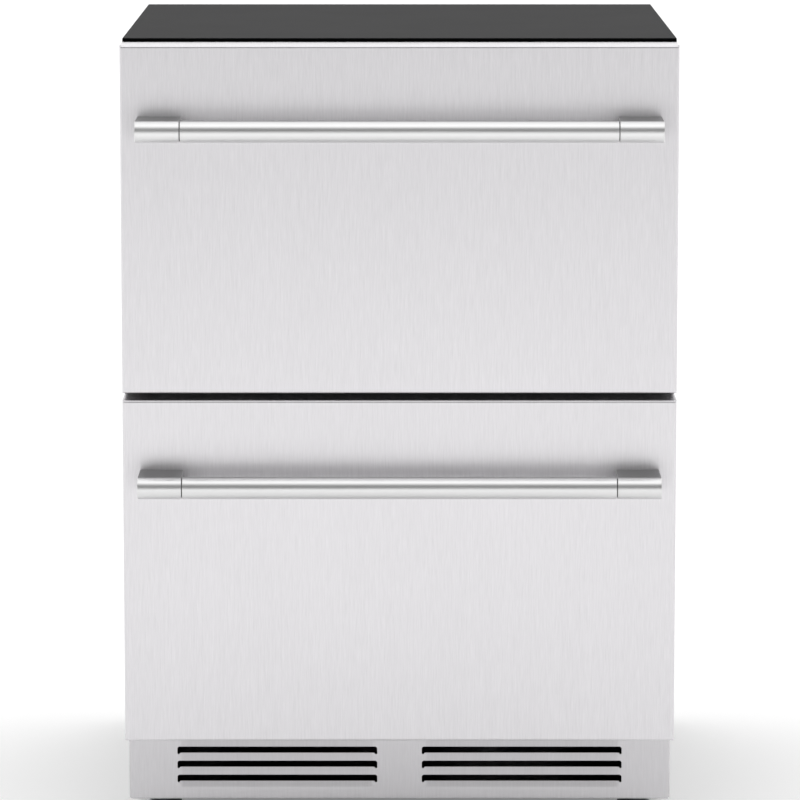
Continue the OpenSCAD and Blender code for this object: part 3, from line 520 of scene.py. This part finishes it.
def post(z):
    """One post with softened ends."""
    lip = 0.6
    stations = [(POST_X0 + lip * (1 - math.cos(math.radians(a))), lip * (1 - math.sin(math.radians(a)))) for a in (0, 22, 45, 68, 90)]
    stations += [(POST_X0 + 16.0, 0.0), (POST_X1 - 16.0, 0.0)]
    stations += [(POST_X1 - lip * (1 - math.cos(math.radians(a))), lip * (1 - math.sin(math.radians(a)))) for a in (90, 68, 45, 22, 0)]
    return loft([[(x, y, zz) for y, zz in bullet(inset, z)] for x, inset in stations])


def spigot(z):
    """The dark plug of a post, which the bar slides over and which shows in the joint."""
    return turned_x([(POST_X0 - 24.0, 8.9), (POST_X0 - 23.2, 9.7), (POST_X0 - 12.0, 9.7), (POST_X0 + 1.5, 9.7)], Y_BAR, z, 48)


# cut=0.45 makes the colour of the posts' flat top, bottom and end faces 45% darker.
POST_STEEL = brushed("steel_satin_post", (0.73, 0.73, 0.73), 0.31, 0, grain=0.03, broad=0.02, aniso=0.3, bump=0.02, cut=0.45)
for level, z in (("upper", 773.1), ("lower", 392.5)):
    make(f"{level}_bar_tube", *bar_tube(z), f"{level}_drawer", "stainless_bar", (f"{level}_handle_bar",))
    make(f"{level}_bar_posts", *merge(post(z), mirrored(post(z))), f"{level}_drawer", "stainless_bar", (f"{level}_handle_posts",), material=POST_STEEL)
    make(f"{level}_bar_plugs", *merge(spigot(z), mirrored(spigot(z))), f"{level}_drawer", "dark_plastic")


# --------------------------------------------------------------- toe grille
def smooth(t):
    t = min(1.0, max(0.0, t))
    return t * t * (3 - 2 * t)


def folded(c, lo, hi, r):
    """A sheet that is bent back at both edges: gives the place of the unrolled coordinate c and its depth."""
    bend = math.pi / 2 * r
    for edge, sign in ((lo, 1), (hi, -1)):
        s = sign * (edge + sign * r - c)
        if s > 0:
            if s < bend:
                return edge + sign * (r - r * math.sin(s / r)), r - r * math.cos(s / r)
            return edge, r + s - bend
    return c, 0.0


def toe_grille():
    """Kick plate: a folded sheet with two columns of pressed louvres, each blade curved back to its upper lip."""
    y0, z0, z1, r = -189.6, 23.4, 103.5, 1.6
    rise, cut = 1.4, 2.6
    bend = math.pi / 2 * r
    pitch, high, press = 15.8, 8.5, 1.0
    slots = [89.6 - pitch * k for k in range(4)]
    ends = [0.0, 0.15, 0.4, 0.8, 1.3, 1.8, 2.2, 2.45, 2.6, 2.9, 3.5, 4.3, 5.3, 7.0, 10.0]
    span = sorted({24.5 + e for e in ends} | {244.5 - e for e in ends} | {24.5 + 220.0 * k / 18 for k in range(2, 17)})
    outer = [(HALF - r) + bend * k / 6 for k in range(7)] + [HALF - r + bend + 6.0, HALF - r + bend + 17.9]
    half_u = sorted(set([0.0, 8.0, 16.0, 21.0, 247.5, 256.0, 270.0, 284.0] + span + outer))
    us = [-u for u in half_u[:0:-1]] + half_u
    rows = [z0 + r - bend * k / 6 for k in range(7)] + [z0 + r - bend - 4.0, z0 + r - bend - 8.4]
    rows += [z1 - r + bend * k / 6 for k in range(7)] + [z1 - r + bend + 5.0, z1 - r + bend + 10.4]
    rows += [28.0, 33.0]
    heights = [7.3, 7.3, 7.3, 5.4]
    for z, h in zip(slots, heights):
        rows += [z + high] + [z - h * k / 12 for k in range(13)]
    vs = sorted(set(round(v, 4) for v in rows))
    us = [round(u, 4) for u in us]

    def place(u, v):
        d = min(abs(u) - 24.5, 244.5 - abs(u))
        x, depth_x = folded(u, -HALF, HALF, r)
        zz, press_in = v, 0.0
        if d >= 0:
            for z, h in zip(slots, heights):
                corner = 2.6
                if abs(v - (z + high)) < 1e-3 and d < corner:
                    zz = v - (corner - math.sqrt(corner ** 2 - (corner - d) ** 2))
                low, side = 0.8, min(d, cut - d)
                if abs(v - z) < 1e-3 and 0 <= side < low:
                    zz = v + low - math.sqrt(low ** 2 - (low - side) ** 2)
                if z - h - 1e-6 <= v <= z + 1e-3:
                    t = min(1.0, max(0.0, 1 - (z - v) / h))
                    press_in = max(press_in, press * t * smooth((d - cut) / 3.0))
                    zz += rise * t * min(1.0, max(0.0, (d - cut) / 0.3))
        zz, depth_z = folded(zz, z0, z1, r)
        return x, y0 + depth_x + depth_z + press_in, zz

    verts = [place(u, v) for v in vs for u in us]
    n = len(us)
    faces = []
    for j in range(len(vs) - 1):
        for i in range(n - 1):
            mu, mv = (us[i] + us[i + 1]) / 2, (vs[j] + vs[j + 1]) / 2
            if abs(mu) > HALF - r and not z0 + r < mv < z1 - r:
                continue
            if 24.5 < abs(mu) < 244.5 and any(z < mv < z + high for z in slots):
                continue
            faces.append((j * n + i, j * n + i + 1, (j + 1) * n + i + 1, (j + 1) * n + i))
    used = sorted({i for f in faces for i in f})
    where = {old: new for new, old in enumerate(used)}
    verts, faces = [verts[i] for i in used], [tuple(where[i] for i in f) for f in faces]
    mesh = bpy.data.meshes.new("kick_plate")
    mesh.from_pydata([(x * MM, y * MM, z * MM) for x, y, z in verts], [], faces)
    mesh.polygons.foreach_set("use_smooth", [True] * len(mesh.polygons))
    obj = bpy.data.objects.new("kick_plate", mesh)
    bpy.context.collection.objects.link(obj)
    mesh.materials.append(MATS["stainless_grille"])
    solid = obj.modifiers.new("sheet", "SOLIDIFY")
    solid.thickness, solid.offset, solid.use_even_offset, solid.use_rim = 0.0012, -1.0, True, True
    split = obj.modifiers.new("edges", "EDGE_SPLIT")
    split.split_angle = math.radians(38)
    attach(obj, "cabinet")
    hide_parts("toe_grille")
    return obj


toe_grille()


# -------------------------------------------------------- magnetic door seals
def seal(name, z_lo, z_hi, body, node):
    """A seal swept round the opening with welded mitres: base strip, bellows, and a round-edged magnet pocket."""
    y = -213.1
    section = [(3.0, 0.0), (18.0, 0.0), (18.0, 0.55), (17.6, 0.85), (16.4, 1.05), (15.0, 1.25), (14.4, 1.45)]
    section += [(14.7, 1.7), (15.4, 1.9), (15.5, 2.1), (14.9, 2.3), (14.2, 2.5), (14.4, 2.7)]
    section += [(15.2, 2.8), (15.75, 3.0), (16.0, 3.3), (16.0, 3.8), (15.8, 4.1), (15.3, 4.3), (14.6, 4.38)]
    section += [(12.0, 4.38), (11.4, 4.22), (10.5, 4.18), (9.6, 4.22), (9.0, 4.38)]
    section += [(6.4, 4.38), (5.7, 4.3), (5.2, 4.1), (5.0, 3.8), (5.0, 3.3), (5.25, 3.0), (5.8, 2.8), (6.6, 2.7)]
    section += [(6.8, 2.5), (6.1, 2.3), (5.5, 2.1), (5.6, 1.9), (6.3, 1.7), (6.6, 1.45), (6.0, 1.25), (4.6, 1.05), (3.4, 0.85), (3.0, 0.55)]
    x_open = 262.0
    corners = [(-1, -1), (1, -1), (1, 1), (-1, 1)]
    stations = []
    for (ax, az), (bx, bz) in zip(corners, corners[1:] + corners[:1]):
        length = 2 * x_open if az == bz else z_hi - z_lo
        steps = max(2, round(length / 26))
        for k in range(steps):
            stations.append((ax, az, bx, bz, k / steps))
    rings = []
    for number, (ax, az, bx, bz, t) in enumerate(stations):
        ring = []
        for d, h in section:
            a = (ax * (x_open + d), (z_lo - d) if az < 0 else (z_hi + d))
            b = (bx * (x_open + d), (z_lo - d) if bz < 0 else (z_hi + d))
            soft = 0.12 * math.sin(number * 1.7) * (1.0 if 1.0 < h < 2.8 else 0.0)
            ring.append((a[0] + (b[0] - a[0]) * t + soft * (az != bz), y + h, a[1] + (b[1] - a[1]) * t + soft * (az == bz)))
        rings.append(ring)
    return make(name, *loft(rings, closed=True), body, "seal_rubber", (node,), sharp=50.0)


seal("upper_seal", 507.95, 832.0, "upper_drawer", "upper_gasket")
seal("lower_seal", 128.0, 458.95, "lower_drawer", "lower_gasket")


# ------------------------------------------------------------------ the bins
def tray(name, z0, z1, depth, body, node):
    """A bin folded from one sheet: bent edges, rounded corners, a rolled top, hanging rims and beads pressed in the sides."""
    half, y0, y1, r, t, inner = 246.0, -190.6, -190.6 + depth, 6.0, 1.2, 1.6
    outer = inner + t
    beads = [z0 + 48.0, z0 + 104.0]
    bead_y, bead_w, bead_d = (y0 + 42.0, y1 - 42.0), 6.5, 1.3
    side = {y0 + r, y1 - r, y0 + 14.0, y1 - 14.0}
    for y in bead_y:
        side |= {y + k for k in (-8.0, -6.5, -5.0, -3.5, -2.0, -0.7, 0.7, 2.0, 4.0)}
    side |= {bead_y[0] + (bead_y[1] - bead_y[0]) * k / 12 for k in range(1, 12)}
    side = sorted(side)
    across = [-(half - r) + 2 * (half - r) * k / 16 for k in range(17)]

    def ring(inset, z):
        rc, points = r - inset, []
        a, b, c = half - inset, y0 + inset, y1 - inset
        points += [(a, y, z) for y in side]
        points += [(x, y, z) for x, y in arc(half - r, y1 - r, rc, 0, 90, 6)[1:-1]]
        points += [(x, c, z) for x in across[::-1]]
        points += [(x, y, z) for x, y in arc(-(half - r), y1 - r, rc, 90, 180, 6)[1:-1]]
        points += [(-a, y, z) for y in side[::-1]]
        points += [(x, y, z) for x, y in arc(-(half - r), y0 + r, rc, 180, 270, 6)[1:-1]]
        points += [(x, b, z) for x in across]
        points += [(x, y, z) for x, y in arc(half - r, y0 + r, rc, 270, 360, 6)[1:-1]]
        return [press(*p) for p in points]

    def press(x, y, z):
        if abs(x) < half - 1.5 * t:
            return x, y, z
        depth_in = 0.0
        for zb in beads:
            run = max(0.0, bead_y[0] - y, y - bead_y[1])
            depth_in = max(depth_in, bead_d * smooth(1 - math.hypot(run, z - zb) / bead_w))
        return (x - math.copysign(depth_in, x), y, z)

    levels = {z0 + outer + 3.0, z1 - 4.0, z0 + 24.0, z0 + 76.0, z0 + 130.0, z0 + 160.0, z0 + 190.0}
    for zb in beads:
        levels |= {zb + k for k in (-7.5, -6.5, -5.2, -3.9, -2.6, -1.3, 0.0, 1.3, 2.6, 3.9, 5.2, 6.5, 7.5)}
    levels = sorted(levels)
    walk = [(5.8, z0 + t)]
    walk += [(outer - inner * math.sin(math.radians(a)), z0 + outer - inner * math.cos(math.radians(a))) for a in range(0, 91, 18)]
    walk += [(t, z) for z in levels]
    walk += [(t / 2 + t / 2 * math.cos(math.radians(a)), z1 - t / 2 + t / 2 * math.sin(math.radians(a))) for a in range(0, 181, 30)]
    walk += [(0.0, z) for z in levels[::-1]]
    walk += [(outer - outer * math.cos(math.radians(a)), z0 + outer - outer * math.sin(math.radians(a))) for a in range(0, 91, 15)]
    walk += [(5.8, z0)]
    shell = loft([ring(inset, z) for inset, z in walk])

    profile = [(0.0, 0.0), (4.0, 0.0), (7.4, 0.0), (8.0, -0.16), (8.44, -0.6), (8.6, -1.2), (8.55, -1.8), (8.3, -2.0), (7.7, -2.0), (7.4, -1.7), (7.3, -1.2), (4.0, -1.2), (0.0, -1.2)]
    rims = []
    y_a, y_b, turn = y0 + 14.0, y1 - 14.0, 5.0
    for k in range(7):
        rims.append((y_a + turn * (1 - math.cos(math.radians(90 * k / 6))), math.sin(math.radians(90 * k / 6))))
    rims += [(y_a + turn + (y_b - y_a - 2 * turn) * k / 12, 1.0) for k in range(1, 12)]
    rims += [(y_a + y_b - y, s) for y, s in rims[6::-1]]
    rim = loft([[(half - t / 2 + px * max(s, 0.12), y, z1 + pz) for px, pz in profile] for y, s in rims])
    return make(name, *merge(shell, rim, mirrored(rim)), body, "stainless_bin", (node,), sharp=34.0)


tray("upper_tray", 521.95, 752.0, 380.0, "upper_drawer", "upper_bin")
tray("lower_tray", 142.0, 382.0, 272.0, "lower_drawer", "lower_bin")


# ------------------------------------------------------------- inner cabinet
def inner_cabinet():
    """One formed liner with rounded corners, stepped over the machine compartment."""
    wide, y0, y1, z0, step_z, z1, step_y = 262.0, -195.6, 267.4, 128.0, 260.0, 832.0, 92.4
    corner, low, nose, back_r = 10.0, 18.0, 9.0, 14.0

    def run(a, b, n):
        return [a + (b - a) * k / n for k in range(n)]

    path = [(y, z0, 0.0, 1.0) for y in (y0, y0 + 2.0, y0 + 4.0, y0 + 7.0, y0 + 10.0, y0 + 13.0) + tuple(run(y0 + 20.0, step_y - low, 10))]
    path += [(y, z, -math.cos(math.radians(a)), -math.sin(math.radians(a))) for a in range(-90, 1, 15) for y, z in arc(step_y - low, z0 + low, low, a, a, 1)[:1]]
    path += [(step_y, z, -1.0, 0.0) for z in run(z0 + low, step_z - nose, 4)[1:]]
    path += [(y, z, math.cos(math.radians(a)), math.sin(math.radians(a))) for a in range(180, 89, -15) for y, z in arc(step_y + nose, step_z - nose, nose, a, a, 1)[:1]]
    path += [(y, step_z, 0.0, 1.0) for y in run(step_y + nose, y1 - back_r, 6)[1:]]
    path += [(y, z, -math.cos(math.radians(a)), -math.sin(math.radians(a))) for a in range(-90, 1, 15) for y, z in arc(y1 - back_r, step_z + back_r, back_r, a, a, 1)[:1]]
    path += [(y1, z, -1.0, 0.0) for z in run(step_z + back_r, z1 - back_r, 12)[1:]]
    path += [(y, z, -math.cos(math.radians(a)), -math.sin(math.radians(a))) for a in range(0, 91, 15) for y, z in arc(y1 - back_r, z1 - back_r, back_r, a, a, 1)[:1]]
    path += [(y, z1, 0.0, -1.0) for y in run(y1 - back_r, y0 + 20.0, 14)[1:] + [y0 + 20.0, y0 + 13.0, y0 + 10.0, y0 + 7.0, y0 + 4.0, y0 + 2.0, y0]]

    def line(x_of, off_of):
        points = []
        for y, z, ny, nz in path:
            radius = max(0.05, corner * smooth((y - y0) / 14.0))
            off = off_of(radius)
            points.append((x_of(radius), y + ny * off, z + nz * off))
        return points

    rows = [line(lambda r: wide, lambda r: r + 3.0)]
    for a in range(90, -1, -15):
        c, s_ = math.cos(math.radians(a)), math.sin(math.radians(a))
        rows.append(line(lambda r: wide - r * (1 - s_), lambda r: r * (1 - c)))
    rows.append([(wide - corner - 4.0, y, z) for _, y, z in rows[-1]])
    half_rows = rows
    middle = [[(x, y, z) for _, y, z in rows[-1]] for x in (150.0, 0.0, -150.0)]
    rows = half_rows + middle + [[(-x, y, z) for x, y, z in row] for row in half_rows[::-1]]
    n = len(path)
    verts = [v for row in rows for v in row]
    faces = [(k * n + i, k * n + i + 1, (k + 1) * n + i + 1, (k + 1) * n + i) for k in range(len(rows) - 1) for i in range(n - 1)]
    faces.append(tuple(range(n))[::-1])
    faces.append(tuple(range((len(rows) - 1) * n, len(rows) * n)))
    mesh = bpy.data.meshes.new("inner_cabinet")
    mesh.from_pydata([(x * MM, y * MM, z * MM) for x, y, z in verts], [], faces)
    mesh.validate()
    mesh.polygons.foreach_set("use_smooth", [True] * len(mesh.polygons))
    mesh.set_sharp_from_angle(angle=math.radians(35.0))
    mesh.materials.append(MATS["white_plastic"])
    obj = bpy.data.objects.new("inner_cabinet", mesh)
    bpy.context.collection.objects.link(obj)
    sheet = obj.modifiers.new("sheet", "SOLIDIFY")
    sheet.thickness, sheet.offset, sheet.use_even_offset, sheet.use_rim = 0.0019, LINER_SIDE, True, True
    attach(obj, "cabinet")
    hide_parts("liner")
    return obj


LINER_SIDE = -1.0
inner_cabinet()


# --------------------------------------------------------------- the surround
def disc(name, radius, rings, segments):
    """A round sheet of quads about the origin, at the height of the floor."""
    mesh = bpy.data.meshes.new(name)
    bm = bmesh.new()
    loops = []
    for k in range(1, rings + 1):
        r = radius * (k / rings) ** 2
        loops.append([bm.verts.new((r * math.cos(t), r * math.sin(t), 0.0)) for t in (2 * math.pi * i / segments for i in range(segments))])
    hub = bm.verts.new((0.0, 0.0, 0.0))
    for i in range(segments):
        bm.faces.new((hub, loops[0][i], loops[0][(i + 1) % segments]))
        for a, b in zip(loops, loops[1:]):
            bm.faces.new((a[i], b[i], b[(i + 1) % segments], a[(i + 1) % segments]))
    bm.to_mesh(mesh)
    bm.free()
    obj = bpy.data.objects.new(name, mesh)
    bpy.context.collection.objects.link(obj)
    return obj


floor = disc("floor", 70.0, 12, 96)
g = Graph("floor_paper")
grain = g.noise(14.0, 3.0, 0.6)
# Painted light: the floor glows 0.23 from 0.9 m in front and everywhere behind, rising to 0.45 by 2.1 m in front,
# holding to 4 m, then fading to none by 9.5 m out. This paints a pool of light in front that the steel reflects, and
# lifts the shadows round the base.
floor.data.materials.append(
    g.set(
        colour=g.tint((0.88, 0.88, 0.88), g.spread(grain, 0.985, 1.015)), rough=0.9, specular=0.1,
        glow=(1.0, 1.0, 1.0), glow_strength=g.math("MINIMUM", g.spread(g.axes(g.place)[1], 0.45, 0.23, -2.1, -0.9), g.spread(g.axes(g.place)[1], 0.0, 0.45, -9.5, -4.0)),
    )
)


def softbox(name, centre, aim, width, height, radiance, tone=(1.0, 1.0, 1.0)):
    """A soft light of the given radiance, which the camera doesn't see."""
    data = bpy.data.lights.new(name, "AREA")
    data.shape = "RECTANGLE"
    data.size, data.size_y = width, height
    data.energy = radiance * math.pi * width * height
    data.color = tone
    obj = bpy.data.objects.new(name, data)
    bpy.context.collection.objects.link(obj)
    obj.location = centre
    obj.rotation_euler = (Vector(aim) - Vector(centre)).to_track_quat("-Z", "Y").to_euler()
    obj.visible_camera = False
    return obj


softbox("light_over", (0.0, -1.45, 3.45), (0.0, -0.31, 0.77), 3.6, 1.8, 0.30)

world = bpy.data.worlds.new("studio")
bpy.context.scene.world = world
world.use_nodes = True
tree = world.node_tree
tree.nodes.clear()
back = tree.nodes.new("ShaderNodeBackground")
out = tree.nodes.new("ShaderNodeOutputWorld")
coord = tree.nodes.new("ShaderNodeTexCoord")
split = tree.nodes.new("ShaderNodeSeparateXYZ")


def ramp(stops):
    """Brightness by the sine of the elevation."""
    node = tree.nodes.new("ShaderNodeValToRGB")
    for k, (at, level) in enumerate(stops):
        element = node.color_ramp.elements[k] if k < 2 else node.color_ramp.elements.new(at)
        element.position = at
        element.color = (level, level, level, 1.0)
    tree.links.new(split.outputs["Z"], node.inputs[0])
    return node.outputs[0]


tree.links.new(coord.outputs["Generated"], split.inputs[0])
ahead = ramp([(0.0, 0.95), (0.02, 0.95), (0.15, 0.24), (0.58, 0.24), (0.76, 0.85), (0.90, 1.25), (1.0, 1.25)])
behind = ramp([(0.0, 1.22), (1.0, 1.25)])
side = ramp([(0.0, 1.0), (0.1, 0.98), (0.3, 0.90), (0.7, 1.1), (1.0, 1.25)])


def turned(a, b, start, end):
    """Goes from one brightness to the other as the direction turns from the front to the back."""
    turn = tree.nodes.new("ShaderNodeMapRange")
    turn.interpolation_type = "SMOOTHSTEP"
    for key, v in (("From Min", start), ("From Max", end), ("To Min", 0.0), ("To Max", 1.0)):
        turn.inputs[key].default_value = v
    tree.links.new(split.outputs["Y"], turn.inputs["Value"])
    blend = tree.nodes.new("ShaderNodeMix")
    blend.data_type = "RGBA"
    tree.links.new(turn.outputs[0], blend.inputs[0])
    tree.links.new(a, blend.inputs[6])
    tree.links.new(b, blend.inputs[7])
    return blend.outputs[2]


tree.links.new(turned(turned(ahead, side, -0.55, 0.0), behind, 0.15, 0.75), back.inputs[0])
tree.links.new(back.outputs[0], out.inputs[0])
back.inputs[1].default_value = 1.0

view = bpy.context.scene.view_settings
view.view_transform = "Standard"
view.look = "None"

camera_data = bpy.data.cameras.new("camera")
camera_data.lens = 209.53
camera_data.sensor_width = 36.0
camera_data.shift_x = 0.0006
camera_data.shift_y = -0.057
camera_data.clip_start, camera_data.clip_end = 0.1, 200.0
camera = bpy.data.objects.new("camera", camera_data)
bpy.context.collection.objects.link(camera)
camera.location = (0.0, -5.2, 1.2422)
camera.rotation_euler = (math.radians(90.0 - 8.22), 0.0, 0.0)
bpy.context.scene.camera = camera
